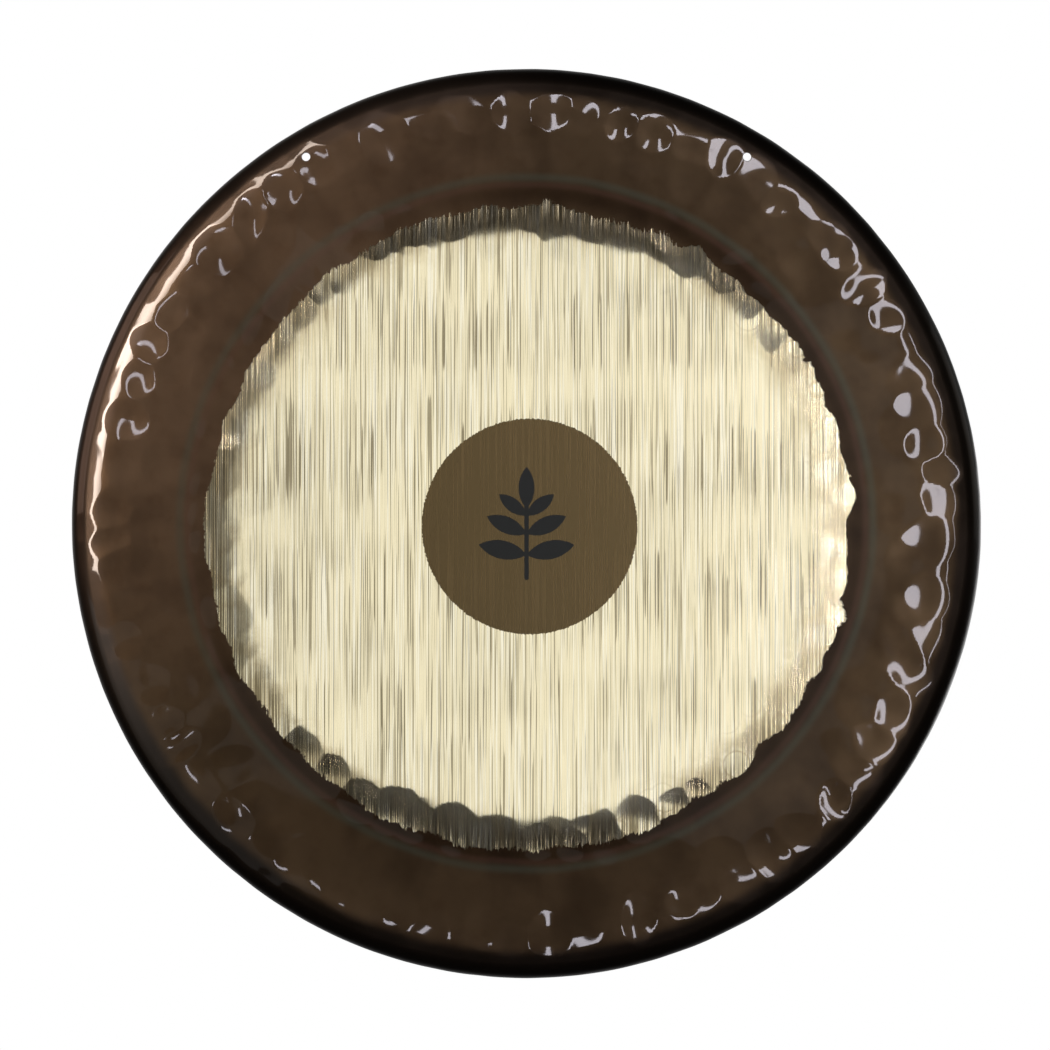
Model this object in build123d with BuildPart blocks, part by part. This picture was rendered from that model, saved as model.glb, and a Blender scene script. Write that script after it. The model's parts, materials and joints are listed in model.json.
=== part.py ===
from build123d import *
import math
import os

# Tam tam gong: one spun and hammered sheet with a turned-back rim, and a printed emblem.
# It hangs upright: +Z is up, Y is the gong's axis and the struck face looks towards -Y.
# The origin is on the axis, half way between the face and the lip of the rim.

# ---- driving dimensions, mm ----
DIAMETER = 660.0
DEPTH = 50.0
SHEET = 1.6
INK = 0.1

CENTRE_FLAT_R = 84.0
CROWN_R = 250.0
CROWN_RISE = 5.0
SHOULDER_R = 18.0
RIM_LEAN = 6.0
LIP_ROUND = 0.5

HOLE_R = 3.0
HOLE_PITCH = 317.0
HOLE_HEIGHT = 263.5

SPRIG_HEIGHT = 81.0
STEM_WIDTH = 3.2
STEM_HEIGHT = 62.0
LEAF_SLIMNESS = 0.19  # half a leaf's width over its length
TOP_LEAF = 30.0
# each pair of leaves: height of its root above the stem's foot, leaf length, rise in degrees
LEAF_PAIRS = ((18.0, 35.0, 12.0), (33.0, 31.0, 24.0), (46.0, 25.0, 38.0))

# ---- worked out ----
FRONT_Y = -DEPTH / 2
FACE_Y = FRONT_Y + INK
BAND_Y = FACE_Y + CROWN_RISE
LIP_Y = DEPTH / 2

SHOULDER_X = DIAMETER / 2 - SHOULDER_R
SHOULDER_Y = BAND_Y + SHOULDER_R
INNER_SHOULDER_R = SHOULDER_R - SHEET

lean = math.radians(RIM_LEAN)
RIM_TOP = (SHOULDER_X + SHOULDER_R * math.cos(lean), SHOULDER_Y + SHOULDER_R * math.sin(lean))
LIP_OUTER = (RIM_TOP[0] - (LIP_Y - RIM_TOP[1]) * math.tan(lean), LIP_Y)
LIP_INNER = (LIP_OUTER[0] - SHEET / math.cos(lean), LIP_Y)
INNER_RIM_TOP = (
    SHOULDER_X + INNER_SHOULDER_R * math.cos(lean),
    SHOULDER_Y + INNER_SHOULDER_R * math.sin(lean),
)
OUTWARD = (1, 0)

STEM_FOOT = -SPRIG_HEIGHT / 2
TOP_LEAF_ROOT = SPRIG_HEIGHT / 2 - TOP_LEAF

# ---- the sheet: flat centre, low crown, flat band, rounded shoulder and leaning rim ----
with BuildPart() as gong_sheet:
    with BuildSketch(Plane.XY):
        with BuildLine():
            # struck side, from the axis to the lip
            Line((0, FACE_Y), (CENTRE_FLAT_R, FACE_Y))
            Spline((CENTRE_FLAT_R, FACE_Y), (CROWN_R, BAND_Y), tangents=(OUTWARD, OUTWARD))
            Line((CROWN_R, BAND_Y), (SHOULDER_X, BAND_Y))
            CenterArc((SHOULDER_X, SHOULDER_Y), SHOULDER_R, -90, 90 + RIM_LEAN)
            Line(RIM_TOP, LIP_OUTER)
            Line(LIP_OUTER, LIP_INNER)
            # hollow side, back to the axis
            Line(LIP_INNER, INNER_RIM_TOP)
            CenterArc((SHOULDER_X, SHOULDER_Y), INNER_SHOULDER_R, -90, 90 + RIM_LEAN)
            Line((SHOULDER_X, BAND_Y + SHEET), (CROWN_R, BAND_Y + SHEET))
            Spline(
                (CENTRE_FLAT_R, FACE_Y + SHEET),
                (CROWN_R, BAND_Y + SHEET),
                tangents=(OUTWARD, OUTWARD),
            )
            Line((CENTRE_FLAT_R, FACE_Y + SHEET), (0, FACE_Y + SHEET))
            Line((0, FACE_Y + SHEET), (0, FACE_Y))
        make_face()
    revolve(axis=Axis.Y)
    lip_edges = gong_sheet.edges().group_by(Axis.Y)[-1]
    fillet(lip_edges, LIP_ROUND)

    # two plain drilled holes for the hanging cord, in the flat band just inside the shoulder
    hole_plane = Plane(origin=(0, BAND_Y, HOLE_HEIGHT), x_dir=(1, 0, 0), z_dir=(0, -1, 0))
    with BuildSketch(hole_plane):
        with GridLocations(HOLE_PITCH, 0, 2, 1):
            Circle(HOLE_R)
    extrude(amount=2 * SHEET, both=True, mode=Mode.SUBTRACT)
gong_sheet.part.label = "gong_sheet"


# ---- the emblem: a plain sprig of leaves printed in black on the flat centre ----
def leaf(length):
    """A pointed leaf along +X from the origin, with an arc for each edge."""
    half_width = LEAF_SLIMNESS * length
    with BuildSketch() as outline:
        with BuildLine():
            ThreePointArc((0, 0), (length / 2, half_width), (length, 0))
            ThreePointArc((length, 0), (length / 2, -half_width), (0, 0))
        make_face()
    return outline.sketch


with BuildPart() as emblem:
    with BuildSketch(Plane(origin=(0, FACE_Y, 0), x_dir=(1, 0, 0), z_dir=(0, -1, 0))):
        with Locations((0, STEM_FOOT + STEM_HEIGHT / 2)):
            SlotOverall(STEM_HEIGHT, STEM_WIDTH, rotation=90)
        with Locations(Location((0, TOP_LEAF_ROOT), 90)):
            add(leaf(TOP_LEAF))
        for root, length, rise in LEAF_PAIRS:
            for direction in (rise, 180 - rise):
                with Locations(Location((0, STEM_FOOT + root), direction)):
                    add(leaf(length))
    extrude(amount=INK)
emblem.part.label = "emblem"

os.makedirs("parts", exist_ok=True)
export_step(gong_sheet.part, "parts/gong_sheet.step")
export_step(emblem.part, "parts/emblem.step")
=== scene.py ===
import json
import math

import bpy
import numpy as np
from mathutils import Matrix, Quaternion, Vector


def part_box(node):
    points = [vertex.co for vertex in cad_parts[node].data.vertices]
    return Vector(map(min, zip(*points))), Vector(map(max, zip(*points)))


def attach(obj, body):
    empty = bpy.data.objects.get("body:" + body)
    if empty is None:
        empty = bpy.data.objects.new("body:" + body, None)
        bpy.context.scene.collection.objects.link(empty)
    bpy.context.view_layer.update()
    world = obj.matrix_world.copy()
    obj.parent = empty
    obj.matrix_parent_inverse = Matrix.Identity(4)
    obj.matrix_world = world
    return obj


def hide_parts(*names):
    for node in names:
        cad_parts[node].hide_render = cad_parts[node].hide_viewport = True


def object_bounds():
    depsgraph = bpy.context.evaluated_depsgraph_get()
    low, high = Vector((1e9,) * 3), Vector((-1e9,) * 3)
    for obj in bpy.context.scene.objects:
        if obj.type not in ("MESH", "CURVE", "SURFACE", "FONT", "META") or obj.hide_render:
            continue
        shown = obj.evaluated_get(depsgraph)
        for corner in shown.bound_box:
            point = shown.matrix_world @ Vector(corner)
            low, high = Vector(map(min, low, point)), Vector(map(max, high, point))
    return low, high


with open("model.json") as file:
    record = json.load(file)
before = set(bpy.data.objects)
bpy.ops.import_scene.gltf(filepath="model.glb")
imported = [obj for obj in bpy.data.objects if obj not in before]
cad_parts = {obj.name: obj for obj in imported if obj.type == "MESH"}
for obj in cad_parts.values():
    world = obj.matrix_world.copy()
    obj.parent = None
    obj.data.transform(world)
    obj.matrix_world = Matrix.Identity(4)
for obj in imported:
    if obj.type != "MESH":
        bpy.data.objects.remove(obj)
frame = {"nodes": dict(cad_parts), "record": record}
cad_box = [list(corner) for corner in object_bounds()]

# The gong hangs upright: +Z up, its struck face towards -Y, its hollow back towards +Y. Metres throughout.
LOW, HIGH = cad_box
RADIUS = (HIGH[0] - LOW[0]) / 2
LIP_Y = HIGH[1]
FACE_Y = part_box("emblem")[1].y
SHEET = 0.0016  # thickness
BEND = 0.018  # radius of the shoulder
HOLES = [m for m in frame["record"]["mounts"] if m["name"].startswith("hang_hole")]
HOLE_R = HOLES[0]["dims"]["r_mm"] / 1000
HOLE_EDGE = 0.0005  # radius of the rounding where a hole meets the face or the back
HOLE_CLEARANCE = 0.0032  # the mesh is cut back this far round a hole, and then closed up to it

# the dull disc and the bright field: radius, and x and z of the centre, a little off the axis
DISC_R = 0.234 * RADIUS
DISC_CENTRE = (0.0022, -0.0022)
BRIGHT_R = 0.7035 * RADIUS
BRIGHT_CENTRE = (0.0021, -0.0030)

# the seam between the two pieces of the struck side
SEAM_R = 0.795 * RADIUS

rng = np.random.default_rng(26)


# ---------------------------------------------------------------- profile of the sheet

# slope of the struck side at shares of the radius: flat centre, low dome, steeper ring under the border of
# the bright field, and a roll-off into the shoulder
BEND_TILT = math.radians(14)
FLANGE_TILT = math.radians(96)
JOIN_R = RADIUS - BEND * (1 - math.sin(BEND_TILT))
SLOPES = (
    (0.00, 0.000),
    (0.15, 0.000),
    (0.45, 0.004),
    (0.61, 0.010),
    (0.665, 0.052),
    (0.700, 0.056),
    (0.735, 0.042),
    (0.765, 0.039),
    (0.850, 0.048),
    (0.885, 0.066),
    (JOIN_R / RADIUS, math.tan(BEND_TILT)),
)
STEP = 0.0001


def eased(knots, at):
    """Values at the given places, easing from one knot to the next."""
    x, y = np.array(knots).T
    i = np.clip(np.searchsorted(x, at) - 1, 0, len(x) - 2)
    t = np.clip((at - x[i]) / (x[i + 1] - x[i]), 0, 1)
    return y[i] + (y[i + 1] - y[i]) * t * t * (3 - 2 * t)


def summed(values, step):
    """Running integral of evenly spaced values, from 0."""
    return np.concatenate([[0], np.cumsum((values[1:] + values[:-1]) / 2 * step)])


def make_profile():
    """The struck side from the axis to the lip: distance along it, radius, y and tilt."""
    # the face, then the bend of the shoulder, then the straight flange
    r_face = np.arange(0, JOIN_R, STEP)
    slope = eased(SLOPES, r_face / RADIUS)
    y_face = FACE_Y + summed(slope, STEP)
    along_face = summed(np.hypot(1, slope), STEP)
    turn = np.arange(BEND_TILT, FLANGE_TILT, STEP / BEND)
    r_bend = RADIUS - BEND + BEND * np.sin(turn)
    y_bend = y_face[-1] + BEND * (math.cos(BEND_TILT) - np.cos(turn))
    along_bend = along_face[-1] + STEP + BEND * (turn - BEND_TILT)
    run = np.arange(STEP, (LIP_Y - y_bend[-1]) / math.sin(FLANGE_TILT), STEP)
    along_flange = along_face[-1] + BEND * (turn[-1] - BEND_TILT) + STEP + run
    return (
        np.concatenate([along_face, along_bend, along_flange]),
        np.concatenate([r_face, r_bend, r_bend[-1] + run * math.cos(FLANGE_TILT)]),
        np.concatenate([y_face, y_bend, y_bend[-1] + run * math.sin(FLANGE_TILT)]),
        np.concatenate([np.arctan(slope), turn, np.full(len(run), FLANGE_TILT)]),
    )


ALONG, PROFILE_R, PROFILE_Y, PROFILE_TILT = make_profile()
END = ALONG[-1]
FACE_PART = slice(0, int(JOIN_R / STEP))


def along_at(radius):
    """Distance along the profile at a radius inside the shoulder."""
    return np.interp(radius, PROFILE_R[FACE_PART], ALONG[FACE_PART])


# ---------------------------------------------------------------- hammered relief

CELL = 0.00075
ROWS = int(END / CELL) + 3
COLUMNS = 2880
ROW_ALONG = np.arange(ROWS) * CELL
ROW_R = np.interp(ROW_ALONG, ALONG, PROFILE_R)
COLUMN_ANGLE = np.arange(COLUMNS) * 2 * math.pi / COLUMNS
LIP_MARGIN = 0.006  # the relief fades out over this distance from the lip


def dent_rows(share, count, length, width, depth, scatter):
    """One ring of hammer dents: distance along the profile, angle, half sizes, depth and twist of each."""
    pitch = 2 * math.pi / count
    return np.column_stack([
        share * RADIUS + rng.normal(0, scatter, count),
        pitch * (np.arange(count) + rng.uniform(0, 1)) + rng.normal(0, 0.22 * pitch, count),
        length * rng.uniform(0.75, 1.3, count),
        width * rng.uniform(0.75, 1.3, count),
        depth * rng.uniform(0.5, 1.4, count),
        rng.normal(0, 0.5, count),
    ])


def bowls(dents, sharpness=4.0):
    """Depth of overlapping bowls, with soft ridges where they meet."""
    total = np.zeros((ROWS, COLUMNS))
    for place, angle, length, width, depth, twist in dents:
        reach = max(length, width)
        rows = np.nonzero(np.abs(ROW_ALONG - place) < reach)[0]
        radius = max(ROW_R[rows].min(), reach)
        half = int(reach / radius / (2 * math.pi) * COLUMNS) + 1
        middle = int(angle / (2 * math.pi) * COLUMNS)
        columns = np.arange(middle - half, middle + half)
        turn = columns * 2 * math.pi / COLUMNS - angle
        du = (ROW_ALONG[rows] - place)[:, None]
        dv = ROW_R[rows][:, None] * turn
        u = (du * math.cos(twist) + dv * math.sin(twist)) / length
        v = (dv * math.cos(twist) - du * math.sin(twist)) / width
        bowl = depth * np.clip(1 - u * u - v * v, 0, None) ** 1.5
        total[np.ix_(rows, columns % COLUMNS)] += bowl ** sharpness
    return total ** (1 / sharpness)


def ripples(count, shortest, longest, height):
    """Low waves of the whole sheet in all directions."""
    x = ROW_R[:, None] * np.cos(COLUMN_ANGLE)
    z = ROW_R[:, None] * np.sin(COLUMN_ANGLE)
    total = np.zeros((ROWS, COLUMNS))
    for _ in range(count):
        length = rng.uniform(shortest, longest)
        heading = rng.uniform(0, 2 * math.pi)
        phase = rng.uniform(0, 6)
        total += height * length / longest * np.sin(
            2 * math.pi / length * (x * math.cos(heading) + z * math.sin(heading)) + phase
        )
    return total


def make_relief():
    """How far the hammer has pushed the sheet in, over distance along the profile and angle."""
    # each row: distance along the profile in shares of the radius, number of dents, half length, half
    # width, depth, scatter
    rim = np.vstack([
        dent_rows(0.835, 58, 0.020, 0.0175, 0.00036, 0.004),
        dent_rows(0.895, 66, 0.0185, 0.0160, 0.00084, 0.003),
        dent_rows(0.965, 80, 0.012, 0.0150, 0.00018, 0.002),
    ])
    flange = np.vstack([
        dent_rows(1.040, 88, 0.013, 0.0140, 0.00016, 0.003),
        dent_rows(1.100, 88, 0.013, 0.0140, 0.00018, 0.003),
    ])
    border = np.vstack([
        dent_rows(0.690, 54, 0.019, 0.0180, 0.00040, 0.004),
        dent_rows(0.600, 42, 0.024, 0.0220, 0.00020, 0.008),
        dent_rows(0.655, 60, 0.012, 0.0120, 0.00014, 0.008),
    ])
    crown = np.vstack([
        dent_rows(0.3, 18, 0.036, 0.032, 0.00008, 0.010),
        dent_rows(0.4, 24, 0.036, 0.032, 0.00008, 0.010),
        dent_rows(0.5, 30, 0.036, 0.032, 0.00008, 0.010),
    ])
    waves = ripples(36, 0.05, 0.20, 0.00002)
    total = bowls(rim) + bowls(flange) + bowls(border, 9.0) + bowls(crown) + waves
    clear_of_disc = np.clip((ROW_R - 0.9 * DISC_R) / (0.4 * DISC_R), 0, 1)
    clear_of_lip = np.clip((END - ROW_ALONG) / LIP_MARGIN, 0, 1)
    return total * (clear_of_disc * clear_of_lip)[:, None]


RELIEF = make_relief()


def pushed_in(along, angle):
    """The relief between the cells of its grid."""
    row = np.clip(along / CELL, 0, ROWS - 2)
    column = (angle / (2 * math.pi) % 1) * COLUMNS
    i, j = row.astype(int), column.astype(int)
    s, t = row - i, column - j
    i2, j, j2 = i + 1, j % COLUMNS, (j + 1) % COLUMNS
    near = RELIEF[i, j] * (1 - t) + RELIEF[i, j2] * t
    far = RELIEF[i2, j] * (1 - t) + RELIEF[i2, j2] * t
    return near * (1 - s) + far * s


def sheet_point(along, angle, inset):
    """Points at places along the profile and round it, inset into the sheet from its struck side."""
    radius = np.interp(along, ALONG, PROFILE_R)
    y = np.interp(along, ALONG, PROFILE_Y)
    tilt = np.interp(along, ALONG, PROFILE_TILT)
    depth = pushed_in(along, angle) + inset
    out = radius - np.sin(tilt) * depth
    return np.stack([out * np.cos(angle), y + np.cos(tilt) * depth, out * np.sin(angle)], -1)


def sheet_axes(along, angle, inset):
    """Outward normals of the struck side and the direction along the profile, at the same places."""
    reach = 1.2 * CELL
    middle = np.clip(along, 3 * reach, END - 1.01 * reach)
    turn = reach / np.interp(middle, ALONG, PROFILE_R)
    down = sheet_point(middle + reach, angle, inset) - sheet_point(middle - reach, angle, inset)
    around = sheet_point(middle, angle + turn, inset) - sheet_point(middle, angle - turn, inset)
    normal = np.cross(down, around)
    return tuple(v / np.linalg.norm(v, axis=-1, keepdims=True) for v in (normal, down))


# ---------------------------------------------------------------- meshes of the sheet

SEGMENTS = 840


class Skin:
    """Rings of points round the axis, each joined to the one before."""

    def __init__(self):
        self.points, self.normals, self.faces, self.rings = [], [], [], []
        self.size = 0

    def add(self, points, normals):
        first = self.size
        self.points.append(points)
        self.normals.append(normals)
        self.size += len(points)
        return np.arange(first, self.size)

    def ring(self, along, inset=0.0, lean=0.0, count=SEGMENTS):
        """Adds a ring. lean turns its normal from the struck side (0) past the lip to the back (pi)."""
        angle = np.arange(count) * 2 * math.pi / count
        place = np.full(count, along)
        normal, down = sheet_axes(place, angle, inset)
        new = self.add(
            sheet_point(place, angle, inset),
            normal * math.cos(lean) + down * math.sin(lean),
        )
        if self.rings:
            self.join(self.rings[-1], new)
        self.rings.append(new)

    def join(self, inner, outer):
        """Quads between equal rings, or five-sided faces where one has twice the points of the other."""
        after_inner, after_outer = np.roll(inner, -1), np.roll(outer, -1)
        if len(inner) == len(outer):
            self.faces += np.stack([inner, outer, after_outer, after_inner], -1).tolist()
        elif len(inner) < len(outer):
            faces = [inner, outer[::2], outer[1::2], np.roll(outer[::2], -1), after_inner]
            self.faces += np.stack(faces, -1).tolist()
        else:
            faces = [inner[::2], outer, after_outer, np.roll(inner[::2], -1), inner[1::2]]
            self.faces += np.stack(faces, -1).tolist()

    def pole(self, inset, lean, first):
        """Closes the hole at the axis with triangles."""
        ring = self.rings[0 if first else -1]
        normal = np.array([[0.0, -math.cos(lean), 0.0]])
        centre = self.add(np.array([[0.0, FACE_Y + inset, 0.0]]), normal)[0]
        after = np.roll(ring, -1)
        pairs = zip(ring.tolist(), after.tolist())
        self.faces += [[centre, a, b] if first else [centre, b, a] for a, b in pairs]

    def drill(self, hole, path, inset, lean):
        """Cuts a round hole: path is the rest of its edge, as steps of radius, inset and lean."""
        x, _, z = hole["pos_m"]
        points = np.concatenate(self.points)
        cut_r = HOLE_R + HOLE_CLEARANCE
        inside = np.hypot(points[:, 0] - x, points[:, 2] - z) < cut_r
        gone = [f for f in self.faces if any(inside[i] for i in f)]
        self.faces = [f for f in self.faces if not any(inside[i] for i in f)]
        edges = {(a, b) for f in gone for a, b in zip(f, f[1:] + f[:1])}
        follow = {a: b for a, b in edges if (b, a) not in edges}
        loop = [min(follow)]
        while follow[loop[-1]] != loop[0]:
            loop.append(follow[loop[-1]])
        rim = points[loop][:, [0, 2]] - (x, z)
        start_r, turn = np.hypot(*rim.T), np.arctan2(rim[:, 1], rim[:, 0])
        last = np.array(loop)
        first_r = path[0][0]
        blend = [(start_r + (first_r - start_r) * s, inset, lean) for s in (0.4, 0.75)]
        for radius, at_inset, at_lean in blend + list(path):
            px, pz = x + radius * np.cos(turn), z + radius * np.sin(turn)
            along, angle = along_at(np.hypot(px, pz)), np.arctan2(pz, px)
            at = sheet_point(along, angle, at_inset)
            at[:, 0], at[:, 2] = px, pz
            normal, _ = sheet_axes(along, angle, at_inset)
            to_axis = np.stack([-np.cos(turn), np.zeros(len(turn)), -np.sin(turn)], -1)
            new = self.add(at, normal * math.cos(at_lean) + to_axis * math.sin(at_lean))
            self.faces += np.stack([last, np.roll(last, -1), np.roll(new, -1), new], -1).tolist()
            last = new

    def piece(self, name, material):
        """The finished object, without the points that the holes took away."""
        points, normals = np.concatenate(self.points), np.concatenate(self.normals)
        used = np.zeros(len(points), bool)
        used[[i for f in self.faces for i in f]] = True
        number = np.cumsum(used) - 1
        mesh = bpy.data.meshes.new(name)
        mesh.from_pydata(points[used].tolist(), [], [[int(number[i]) for i in f] for f in self.faces])
        mesh.polygons.foreach_set("use_smooth", [True] * len(mesh.polygons))
        kept = normals[used]
        kept /= np.linalg.norm(kept, axis=1, keepdims=True)
        mesh.normals_split_custom_set_from_vertices(kept.tolist())
        mesh.materials.append(material)
        made = bpy.data.objects.new(name, mesh)
        bpy.context.scene.collection.objects.link(made)
        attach(made, "root")
        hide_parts("gong_sheet")
        return made


def spaced(start, end, pitch):
    """Evenly spaced values from start to end, both kept."""
    return np.linspace(start, end, max(1, round(abs(end - start) / pitch)) + 1)


# the inner rings have fewer points, halving towards the axis: first and last radius, pitch and points
INNER = (
    (0.004, 0.012, 0.002, SEGMENTS // 8),
    (0.014, 0.034, 0.004, SEGMENTS // 4),
    (0.038, 0.078, 0.004, SEGMENTS // 2),
)
OUTER_FROM = 0.080
FACE_PITCH, RIM_PITCH, BACK_PITCH = 0.0021, 0.0014, 0.0030
HALF_SHEET = SHEET / 2
LIP_TURNS = [math.radians(a) for a in (30, 60, 90, 120, 150)]
EDGE_TURNS = [math.radians(a) for a in (0, 30, 60, 90)]
HOLE_FRONT = [
    (HOLE_R + HOLE_EDGE * (1 - math.sin(a)), HOLE_EDGE * (1 - math.cos(a)), a)
    for a in EDGE_TURNS
]
HOLE_BACK = [(r, SHEET - depth, math.pi - a) for r, depth, a in reversed(HOLE_FRONT)]


def make_face(material):
    """The struck side from the axis to the seam."""
    skin = Skin()
    for start, end, pitch, count in INNER:
        for radius in spaced(start, end, pitch):
            skin.ring(along_at(radius), count=count)
    for radius in spaced(OUTER_FROM, SEAM_R, FACE_PITCH):
        skin.ring(along_at(radius))
    skin.pole(0.0, 0.0, True)
    return skin.piece("gong_face", material)


def make_rim(material):
    """The struck side from the seam over the shoulder to the lip, with the two holes."""
    skin = Skin()
    for along in spaced(along_at(SEAM_R), END - HALF_SHEET, RIM_PITCH):
        skin.ring(along)
    for a in LIP_TURNS:
        skin.ring(END - HALF_SHEET * (1 - math.sin(a)), HALF_SHEET * (1 - math.cos(a)), a)
    skin.ring(END - HALF_SHEET, SHEET, math.pi)
    for hole in HOLES:
        skin.drill(hole, HOLE_FRONT + HOLE_BACK, 0.0, 0.0)
    return skin.piece("gong_rim", material)


def make_back(material):
    """The hollow side from the lip to the axis."""
    skin = Skin()
    for along in spaced(END - HALF_SHEET, along_at(OUTER_FROM), BACK_PITCH):
        skin.ring(along, SHEET, math.pi)
    for start, end, pitch, count in reversed(INNER):
        for radius in spaced(end, start, pitch):
            skin.ring(along_at(radius), SHEET, math.pi, count)
    skin.pole(SHEET, math.pi, False)
    for hole in HOLES:
        skin.drill(hole, HOLE_BACK[-1:], SHEET, math.pi)
    return skin.piece("gong_back", material)


# ---------------------------------------------------------------- materials

class Nodes:
    """Short calls that add shader nodes to one new material and link them."""

    def __init__(self, name):
        self.material = bpy.data.materials.new(name)
        self.material.use_nodes = True
        self.tree = self.material.node_tree
        self.tree.nodes.clear()

    def put(self, socket, value):
        if isinstance(value, bpy.types.NodeSocket):
            self.tree.links.new(value, socket)
        elif isinstance(value, tuple) and len(value) == 3 and socket.type == "RGBA":
            socket.default_value = (*value, 1)
        else:
            socket.default_value = value

    def node(self, kind, inputs, **settings):
        made = self.tree.nodes.new("ShaderNode" + kind)
        for name, value in settings.items():
            setattr(made, name, value)
        for key, value in inputs.items():
            self.put(made.inputs[key], value)
        return made

    def place(self):
        return self.node("TexCoord", {}).outputs["Object"]

    def split(self, vector):
        return self.node("SeparateXYZ", {0: vector}).outputs[:3]

    def join(self, x, y, z):
        return self.node("CombineXYZ", {0: x, 1: y, 2: z}).outputs[0]

    def math(self, operation, *values):
        return self.node("Math", dict(enumerate(values)), operation=operation).outputs[0]

    def sum(self, *values):
        total = values[0]
        for value in values[1:]:
            total = self.math("ADD", total, value)
        return total

    def times(self, *values):
        total = values[0]
        for value in values[1:]:
            total = self.math("MULTIPLY", total, value)
        return total

    def length(self, vector):
        return self.node("VectorMath", {0: vector}, operation="LENGTH").outputs["Value"]

    def scaled(self, vector, scale):
        return self.node("VectorMath", {0: vector, 1: scale}, operation="MULTIPLY").outputs[0]

    def noise(self, vector, scale, detail=2.0, roughness=0.5):
        inputs = {"Vector": vector, "Scale": scale, "Detail": detail, "Roughness": roughness}
        return self.node("TexNoise", inputs).outputs[0]

    def cells(self, vector, scale):
        """Distance to the nearest of scattered points."""
        return self.node("TexVoronoi", {"Vector": vector, "Scale": scale}).outputs["Distance"]

    def swing(self, value, size):
        """A noise value from 0 to 1, made to swing by half the size either way."""
        return self.times(self.math("SUBTRACT", value, 0.5), size)

    def fade(self, value, low, high, to_low=0.0, to_high=1.0):
        """Eases from to_low at low to to_high at high."""
        inputs = {
            "Value": value,
            "From Min": low,
            "From Max": high,
            "To Min": to_low,
            "To Max": to_high,
        }
        return self.node("MapRange", inputs, interpolation_type="SMOOTHSTEP").outputs[0]

    def bell(self, value, middle, half_width):
        """1 at middle, falling to 0 at half_width away."""
        away = self.math("ABSOLUTE", self.math("SUBTRACT", value, middle))
        return self.fade(away, 0.0, half_width, 1.0, 0.0)

    def blend(self, factor, a, b):
        made = self.node("Mix", {"Factor": factor}, data_type="RGBA")
        self.put(made.inputs[6], a)
        self.put(made.inputs[7], b)
        return made.outputs[2]

    def tint(self, base, factor, colour):
        """base times colour, by factor."""
        made = self.node("Mix", {"Factor": factor}, data_type="RGBA", blend_type="MULTIPLY")
        self.put(made.inputs[6], base)
        self.put(made.inputs[7], colour)
        return made.outputs[2]

    def bump(self, height, distance, strength):
        inputs = {"Height": height, "Distance": distance, "Strength": strength}
        return self.node("Bump", inputs).outputs[0]

    def finish(self, shader):
        output = self.node("OutputMaterial", {})
        self.tree.links.new(shader, output.inputs[0])
        return self.material


# radii of the darker margin and the heat-coloured rings, and a small length that keeps divisions by the
# radius finite at the axis
MARGIN_R, ROSE_R, GREEN_R = 0.2385, 0.2450, 0.2505
AXIS_GUARD = 0.001


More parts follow.
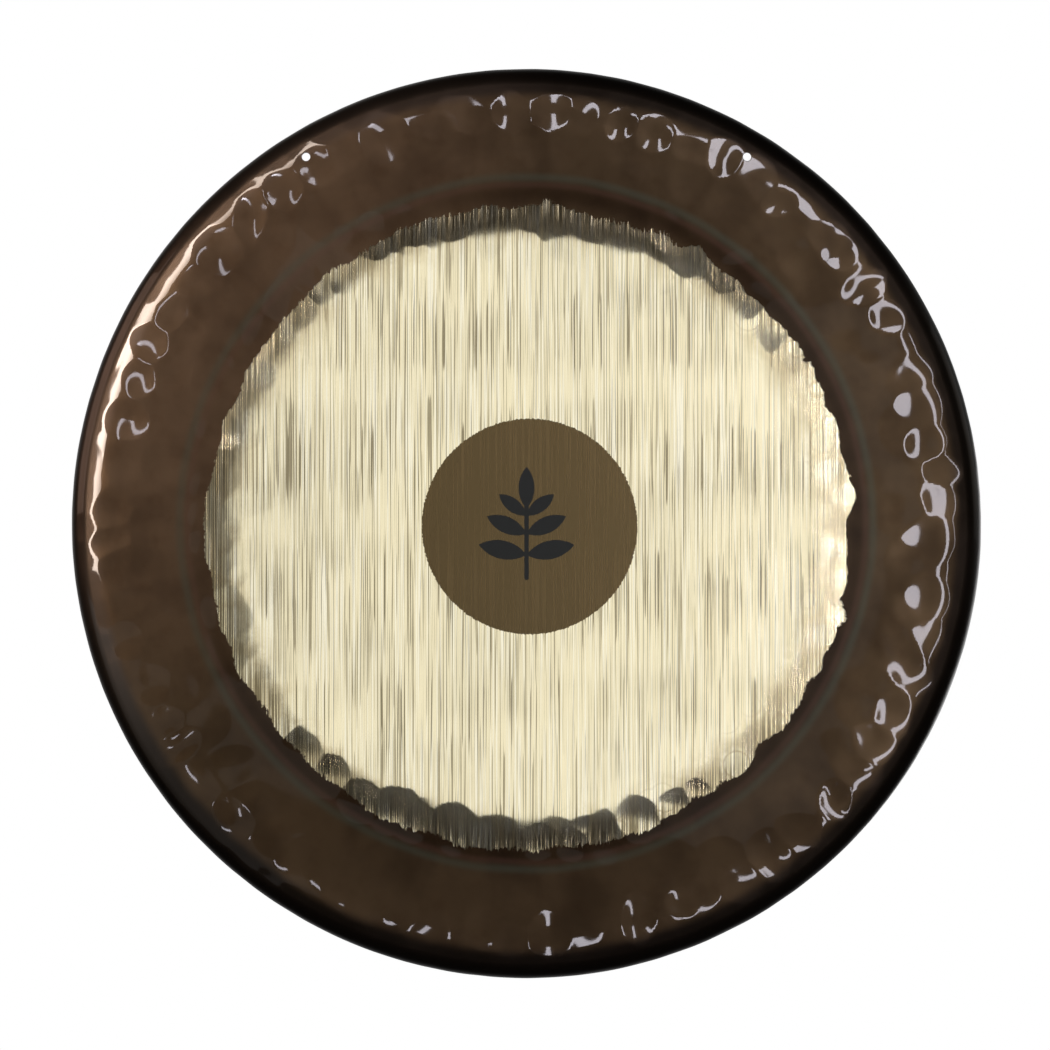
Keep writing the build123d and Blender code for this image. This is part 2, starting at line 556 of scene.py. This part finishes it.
def burnished_metal(n, place, x, z, flat, radius):
    """The bright field and its dull disc: the shader, and where the field is."""
    # the border of the field, combed by the strokes above and below and scalloped all round
    comb = n.noise(n.scaled(place, (620.0, 0.0, 16.0)), 1.0, 2.0)
    comb_z = n.sum(z, -BRIGHT_CENTRE[1], n.swing(comb, 0.008))
    marks = n.cells(flat, 44.0)
    scallop = n.times(n.math("SUBTRACT", marks, 0.4), n.fade(x, -0.10, 0.18, 0.5, 1.0))
    ragged = n.noise(flat, 280.0, 4.0, 0.6)
    bright_r = n.sum(
        n.length(n.join(n.sum(x, -BRIGHT_CENTRE[0]), 0.0, comb_z)),
        n.times(scallop, 0.0130),
        n.swing(ragged, 0.006),
    )
    bright = n.fade(bright_r, BRIGHT_R - 0.0005, BRIGHT_R + 0.0007, 1.0, 0.0)

    # the dull disc in the middle, with a finely toothed edge
    teeth = n.noise(flat, 620.0, 1.0)
    from_centre = n.length(n.join(n.sum(x, -DISC_CENTRE[0]), 0.0, n.sum(z, -DISC_CENTRE[1])))
    disc = n.fade(n.sum(from_centre, n.swing(teeth, 0.0022)), DISC_R - 0.0002, DISC_R + 0.0002, 1.0, 0.0)

    # strokes of the burnishing wheel: thin, long and upright
    broad = n.noise(n.scaled(place, (820.0, 0.0, 8.0)), 1.0, 0.0)
    medium = n.noise(n.scaled(place, (1250.0, 0.0, 11.0)), 1.0, 0.0)
    fine = n.noise(n.scaled(place, (1700.0, 0.0, 20.0)), 1.0, 0.0)
    patches = n.noise(flat, 16.0, 3.0)
    grouped = n.swing(patches, 0.20)
    broad_strokes = n.fade(n.sum(broad, grouped), 0.66, 0.70)
    medium_strokes = n.fade(n.sum(medium, grouped), 0.61, 0.67)
    fine_strokes = n.fade(fine, 0.55, 0.68)
    pale_strokes = n.fade(broad, 0.46, 0.34)
    dark_strokes = n.math("MAXIMUM", n.times(broad_strokes, 0.7), n.times(medium_strokes, 0.9))
    gold = n.blend(n.fade(patches, 0.3, 0.7), (0.93, 0.85, 0.59), (0.84, 0.77, 0.54))
    gold = n.blend(n.times(pale_strokes, 0.7), gold, (1.0, 0.97, 0.81))
    gold = n.blend(n.times(fine_strokes, 0.32), gold, (0.42, 0.36, 0.20))
    gold = n.blend(n.times(dark_strokes, 0.86), gold, (0.115, 0.088, 0.038))

    # painted shade of the hammer marks along the border: browner between the marks, as if they fell in
    # shade
    near_border = n.fade(bright_r, BRIGHT_R - 0.036, BRIGHT_R - 0.008)
    between = n.fade(n.sum(marks, n.swing(ragged, 0.4)), 0.34, 0.66)
    gold = n.blend(n.times(between, near_border, 0.5), gold, (0.50, 0.40, 0.22))
    # painted shade: darker arcs at the rims of the hammer marks, mostly at the right
    dent_rim_shade = n.times(n.bell(marks, 0.42, 0.05), near_border, n.fade(x, -0.05, 0.12))
    gold = n.blend(n.times(dent_rim_shade, 0.5), gold, (0.42, 0.31, 0.15))

    # dark ends of the strokes along the border, fewest at the right
    rightward = n.math("DIVIDE", x, n.sum(radius, AXIS_GUARD))
    combed = n.times(
        n.fade(bright_r, BRIGHT_R - 0.022, BRIGHT_R - 0.005),
        n.fade(medium, 0.36, 0.56),
        n.fade(rightward, 0.70, 0.97, 0.9, 0.25),
    )
    gold = n.blend(combed, gold, (0.19, 0.155, 0.085))
    olive = n.blend(n.noise(flat, 60.0, 3.0), (0.076, 0.055, 0.026), (0.070, 0.051, 0.0235))

    height = n.sum(n.times(fine, 0.3), n.times(medium, 0.6), broad)
    height = n.times(height, n.fade(disc, 0.0, 1.0, 1.0, 0.3))
    fringe = n.times(n.fade(bright_r, BRIGHT_R - 0.012, BRIGHT_R - 0.002), fine_strokes)
    shader = n.node("BsdfPrincipled", {
        "Base Color": n.blend(disc, gold, olive),
        "Metallic": 1.0,
        "Roughness": n.sum(n.times(dark_strokes, 0.05), n.times(fringe, 0.10), n.times(disc, 0.15), 0.11),
        "Anisotropic": 0.85,
        "Tangent": n.join(1.0, 0.0, 0.0),
        "Normal": n.bump(height, 0.00005, 0.3),
    })
    return shader.outputs[0], bright


def brown_oxide(n, x, y, z, flat, radius):
    """The glossy brown of the annulus with painted light and shade, its heat colours, and the shoulder
    painted near black as shade.
    """
    clouds = n.noise(flat, 17.0, 3.0, 0.6)
    specks = n.noise(flat, 70.0, 3.0, 0.6)
    from_axis = n.sum(radius, AXIS_GUARD)
    upright = n.math("ABSOLUTE", n.math("DIVIDE", z, from_axis))
    leftward = n.math("DIVIDE", n.sum(n.times(x, -0.85), n.times(z, 0.5)), from_axis)
    lit_left_side = n.fade(leftward, 0.35, 0.95)
    # painted shade and light: the brown is darker towards the top and bottom, and paler at the left, where
    # the warm light falls
    brown = n.blend(n.fade(upright, 0.45, 1.0), (0.028, 0.0182, 0.0088), (0.024, 0.0156, 0.0078))
    brown = n.blend(lit_left_side, brown, (0.046, 0.0290, 0.0160))
    brown = n.tint(brown, n.fade(clouds, 0.35, 0.70), (0.60, 0.58, 0.56))
    brown = n.tint(brown, n.fade(specks, 0.45, 0.75, 0.0, 0.5), (0.75, 0.68, 0.60))

    # a darker margin round the bright field, less dark at the left, then heat colours: a rose and a green
    # ring
    wavy_r = n.sum(radius, n.times(clouds, 0.004))
    margin = n.times(n.bell(wavy_r, MARGIN_R, 0.016), n.fade(lit_left_side, 0.0, 1.0, 0.9, 0.2))
    brown = n.tint(brown, margin, (0.42, 0.36, 0.30))
    brown = n.blend(n.times(n.bell(wavy_r, ROSE_R, 0.004), 0.18), brown, (0.045, 0.022, 0.017))
    brown = n.blend(n.times(n.bell(wavy_r, GREEN_R, 0.005), 0.28), brown, (0.024, 0.034, 0.025))

    # the shoulder's oxide painted near black as shade where it turns away from the light, with painted
    # light making it paler at the left; browner on the flange
    shoulder = n.fade(n.sum(radius, n.times(clouds, 0.003)), 0.925 * RADIUS, 0.955 * RADIUS)
    shoulder_shade = n.blend(lit_left_side, (0.008, 0.006, 0.0045), (0.042, 0.030, 0.022))
    shoulder_shade = n.blend(n.fade(y, 0.0, 0.010), shoulder_shade, (0.110, 0.070, 0.042))
    brown = n.blend(n.times(shoulder, 0.9), brown, shoulder_shade)

    # the gloss is strongest on the left shoulder and weakest at the outer edge
    left_gloss = n.times(n.fade(radius, 0.925 * RADIUS, 0.945 * RADIUS, 0.0, 0.7), lit_left_side)
    edge = n.fade(radius, 0.955 * RADIUS, 0.975 * RADIUS, 1.0, 0.30)
    grain = n.noise(flat, 420.0, 3.0)
    shader = n.node("BsdfPrincipled", {
        "Base Color": brown,
        "Metallic": n.fade(shoulder, 0.0, 1.0, 0.4, 0.9),
        "Roughness": n.fade(clouds, 0.3, 0.7, 0.28, 0.38),
        "Specular IOR Level": 0.02,
        "Coat Weight": n.times(n.sum(0.19, left_gloss), edge),
        "Coat Roughness": 0.04,
        "Normal": n.bump(n.sum(n.times(specks, 0.5), n.times(grain, 0.06)), 0.00025, 0.6),
    })
    return shader.outputs[0]


def hammered_bronze():
    """The struck side: a burnished field of fine upright strokes inside a glossy brown oxide rim."""
    n = Nodes("hammered_bronze")
    place = n.place()
    x, y, z = n.split(place)
    flat = n.join(x, 0.0, z)
    radius = n.length(flat)
    burnished, bright = burnished_metal(n, place, x, z, flat, radius)
    oxide = brown_oxide(n, x, y, z, flat, radius)
    mixed = n.node("MixShader", {0: bright, 1: oxide, 2: burnished})
    return n.finish(mixed.outputs[0])


def oxidised_back():
    """The hollow side: uneven brown scale, duller than the rim."""
    n = Nodes("oxidised_back")
    flat = n.place()
    clouds = n.noise(flat, 13.0, 4.0, 0.6)
    specks = n.noise(flat, 110.0, 4.0, 0.65)
    brown = n.blend(n.fade(clouds, 0.3, 0.7), (0.115, 0.068, 0.036), (0.050, 0.031, 0.018))
    brown = n.tint(brown, n.fade(specks, 0.45, 0.75), (0.6, 0.55, 0.5))
    shader = n.node("BsdfPrincipled", {
        "Base Color": brown,
        "Metallic": 0.85,
        "Roughness": n.fade(specks, 0.3, 0.7, 0.30, 0.48),
        "Normal": n.bump(specks, 0.0003, 0.5),
    })
    return n.finish(shader.outputs[0])


def printed_ink():
    """Satin black ink over the brushed disc, a little worn."""
    n = Nodes("printed_ink")
    place = n.place()
    grain = n.noise(place, 900.0, 3.0)
    worn = n.fade(n.noise(place, 220.0, 4.0, 0.7), 0.66, 0.74)
    ink = n.blend(n.times(worn, 0.35), (0.004, 0.005, 0.0045), (0.020, 0.017, 0.012))
    shader = n.node("BsdfPrincipled", {
        "Base Color": ink,
        "Roughness": n.fade(grain, 0.3, 0.7, 0.38, 0.52),
        "Specular IOR Level": 0.12,
        "Normal": n.bump(grain, 0.00004, 0.4),
    })
    return n.finish(shader.outputs[0])


# ---------------------------------------------------------------- the gong

bronze = hammered_bronze()
make_face(bronze)
make_rim(bronze)
make_back(oxidised_back())
emblem = frame["nodes"]["emblem"]
emblem.data.materials.clear()
emblem.data.materials.append(printed_ink())


# ---------------------------------------------------------------- camera

# straight on, with the gong a hair right of and above the middle of the picture, as in the photograph
FOCAL, SENSOR = 85.0, 36.0
CAMERA_PLACE = (-0.0011, -1.80, -0.0011)
camera_data = bpy.data.cameras.new("camera")
camera_data.lens = FOCAL
camera_data.sensor_width = SENSOR
camera = bpy.data.objects.new("camera", camera_data)
camera.location = CAMERA_PLACE
camera.rotation_euler = (math.pi / 2, 0, 0)
bpy.context.scene.collection.objects.link(camera)
bpy.context.scene.camera = camera


# ---------------------------------------------------------------- floor, world and lights

ORIGIN = (0.0, 0.0, 0.0)
WHITE = (1.0, 1.0, 1.0)
WARM_WHITE = (1.0, 0.985, 0.96)
LILAC = (0.93, 0.90, 1.0)
WARM = (1.0, 0.84, 0.72)
ROSY = (1.0, 0.72, 0.60)
FLOOR_Z, FLOOR_R, FLOOR_SIDES = -1.05, 2.9, 96


def panel(name, centre, aim, width, height, radiance, colour=WHITE, turn=0.0):
    """A soft box: a rectangle of even light facing aim, turned by degrees about that line."""
    data = bpy.data.lights.new(name, "AREA")
    data.shape = "RECTANGLE"
    data.size, data.size_y = width, height
    data.energy = 4 * width * height * radiance  # Blender divides a panel's energy by 4 times its area
    data.color = colour
    made = bpy.data.objects.new(name, data)
    made.location = centre
    facing = (Vector(aim) - Vector(centre)).to_track_quat("-Z", "Y")
    made.rotation_euler = (facing @ Quaternion((0, 0, 1), math.radians(turn))).to_euler()
    made.visible_camera = False
    bpy.context.scene.collection.objects.link(made)
    return made


def make_floor():
    """A round pale floor, lifted towards white for the camera alone."""
    mesh = bpy.data.meshes.new("floor")
    turns = [2 * math.pi * i / FLOOR_SIDES for i in range(FLOOR_SIDES)]
    edge = [(FLOOR_R * math.cos(a), FLOOR_R * math.sin(a), FLOOR_Z) for a in turns]
    mesh.from_pydata(edge, [], [list(range(FLOOR_SIDES))])
    n = Nodes("pale_floor")
    shader = n.node("BsdfPrincipled", {
        "Base Color": (0.85, 0.85, 0.85),
        "Roughness": 0.9,
        "Specular IOR Level": 0.1,
        "Emission Color": (1.0, 1.0, 1.0),
        "Emission Strength": n.times(n.node("LightPath", {}).outputs["Is Camera Ray"], 0.62),
    })
    mesh.materials.append(n.finish(shader.outputs[0]))
    made = bpy.data.objects.new("floor", mesh)
    bpy.context.scene.collection.objects.link(made)
    made.visible_glossy = False


def make_world():
    """White to the camera; to the gong, dim in front of it and brighter behind."""
    world = bpy.data.worlds.new("studio")
    bpy.context.scene.world = world
    world.use_nodes = True
    tree = world.node_tree
    background = tree.nodes["Background"]
    background.inputs["Color"].default_value = (1, 1, 1, 1)
    # the strength rises with the Y of the direction, which is below 0 in front of the gong
    heading = tree.nodes.new("ShaderNodeSeparateXYZ")
    tree.links.new(tree.nodes.new("ShaderNodeTexCoord").outputs["Generated"], heading.inputs[0])
    dim = tree.nodes.new("ShaderNodeMapRange")
    dim.interpolation_type = "SMOOTHSTEP"
    for name, value in (("From Min", 0.3), ("From Max", 0.9), ("To Min", 0.022), ("To Max", 0.35)):
        dim.inputs[name].default_value = value
    tree.links.new(heading.outputs["Y"], dim.inputs["Value"])
    path = tree.nodes.new("ShaderNodeLightPath")
    level = tree.nodes.new("ShaderNodeMix")
    tree.links.new(path.outputs["Is Camera Ray"], level.inputs[0])
    tree.links.new(dim.outputs[0], level.inputs[2])
    level.inputs[3].default_value = 1.0
    tree.links.new(level.outputs[0], background.inputs["Strength"])


make_floor()
make_world()
bpy.context.scene.view_settings.view_transform = "Standard"


# the soft boxes that the bright field mirrors: name, centre, aim, width, height, radiance, colour, turn
BOXES = (
    ("front_box", (0.07, -1.95, -0.042), (0.07, 0.0, -0.042), 1.24, 1.085, 0.73, WARM_WHITE, -9.0),
    ("left_box", (-0.88, -1.90, 0.0), (-0.88, 0.0, 0.0), 0.66, 1.20, 0.13, WARM_WHITE, 0.0),
)
for settings in BOXES:
    panel(*settings)

# bright tubes and lamps that the hammer marks of the rim mirror as hooks and chains, all in one plane:
# name, x, z, x and z of the point it faces, width, height, radiance, turn
LAMP_Y = -1.75
LAMPS = (
    ("right_tube_a", 0.91, 0.0, 0.3, 0.0, 0.075, 1.50, 40.0, 0.0),
    ("right_tube_b", 1.20, 0.05, 0.3, 0.05, 0.03, 1.10, 36.0, 0.0),
    ("upper_right_lamp", 0.74, 0.86, 0.2, 0.2, 0.24, 0.26, 42.0, 0.0),
    ("top_lamp_right", 0.40, 1.02, 0.1, 0.3, 0.08, 0.28, 44.0, 0.0),
    ("top_lamp", 0.06, 1.04, 0.0, 0.3, 0.06, 0.30, 44.0, 0.0),
    ("top_lamp_left", -0.32, 1.00, -0.1, 0.3, 0.06, 0.24, 34.0, 0.0),
    ("upper_left_lamp", -0.66, 0.80, -0.2, 0.2, 0.04, 0.20, 30.0, 0.0),
    ("bottom_lamp_right", 0.46, -0.96, 0.1, -0.3, 0.05, 0.24, 38.0, 0.0),
    ("bottom_lamp", 0.10, -1.06, 0.0, -0.3, 0.06, 0.22, 40.0, 0.0),
    ("bottom_lamp_left", -0.24, -1.02, 0.0, -0.3, 0.05, 0.20, 36.0, 0.0),
    ("bottom_lamp_far_left", -0.52, -0.90, 0.0, -0.3, 0.04, 0.16, 32.0, 0.0),
    ("lower_right_lamp", 0.80, -0.76, 0.2, -0.2, 0.05, 0.26, 38.0, 20.0),
    ("lower_left_lamp", -0.74, -0.70, 0.0, -0.2, 0.04, 0.14, 32.0, 0.0),
    ("left_lamp", -0.90, 0.42, -0.3, 0.1, 0.04, 0.36, 36.0, 0.0),
)
for name, x, z, aim_x, aim_z, width, height, radiance, turn in LAMPS:
    panel(name, (x, LAMP_Y, z), (aim_x, 0.0, aim_z), width, height, radiance, LILAC, turn)

# a row of warm boxes in an arc to the left and above, all at one angle to the axis, for an even streak on
# the rim; azimuths and pitch in degrees
WARM_CONE = math.radians(42)
WARM_AWAY = 1.95
WARM_FROM, WARM_PITCH = 128, 17
WARM_WIDTH = 0.17
WARM_LEVELS = (12.0, 20.0, 26.0, 20.0)


def warm_panel(name, azimuth, radiance):
    """One box of the arc: azimuth is measured round the gong's axis from +X towards +Z."""
    out = WARM_AWAY * math.sin(WARM_CONE)
    length = 2 * out * math.tan(math.radians(WARM_PITCH / 2))
    centre = (out * math.cos(azimuth), -WARM_AWAY * math.cos(WARM_CONE), out * math.sin(azimuth))
    made = panel(name, centre, ORIGIN, WARM_WIDTH, length, radiance, WARM)
    toward = -Vector(centre).normalized()
    across = Vector((-math.sin(azimuth), 0.0, math.cos(azimuth)))
    side = across.cross(-toward)
    made.rotation_euler = Matrix((side, across, -toward)).transposed().to_euler()


for step, level in enumerate(WARM_LEVELS):
    warm_panel(f"left_warm_{step}", math.radians(WARM_FROM + step * WARM_PITCH), level)

# large dim boxes, listed like BOXES: for the left shoulder, the face seen from the right, the side and the
# back
FILLS = (
    ("left_glow", (-2.20, -0.50, 0.70), ORIGIN, 1.4, 1.4, 1.6, ROSY),
    ("low_left_box", (-1.05, -1.05, -0.62), ORIGIN, 1.3, 0.8, 0.60, WARM_WHITE),
    ("right_side_box", (2.30, 0.20, 0.50), ORIGIN, 1.2, 1.2, 0.8, WHITE),
    ("back_box", (0.0, 2.3, 0.3), ORIGIN, 1.6, 1.4, 1.2, WHITE),
    ("back_right_box", (1.60, 1.75, -0.35), ORIGIN, 1.6, 1.2, 1.1, WHITE),
)
for settings in FILLS:
    panel(*settings)
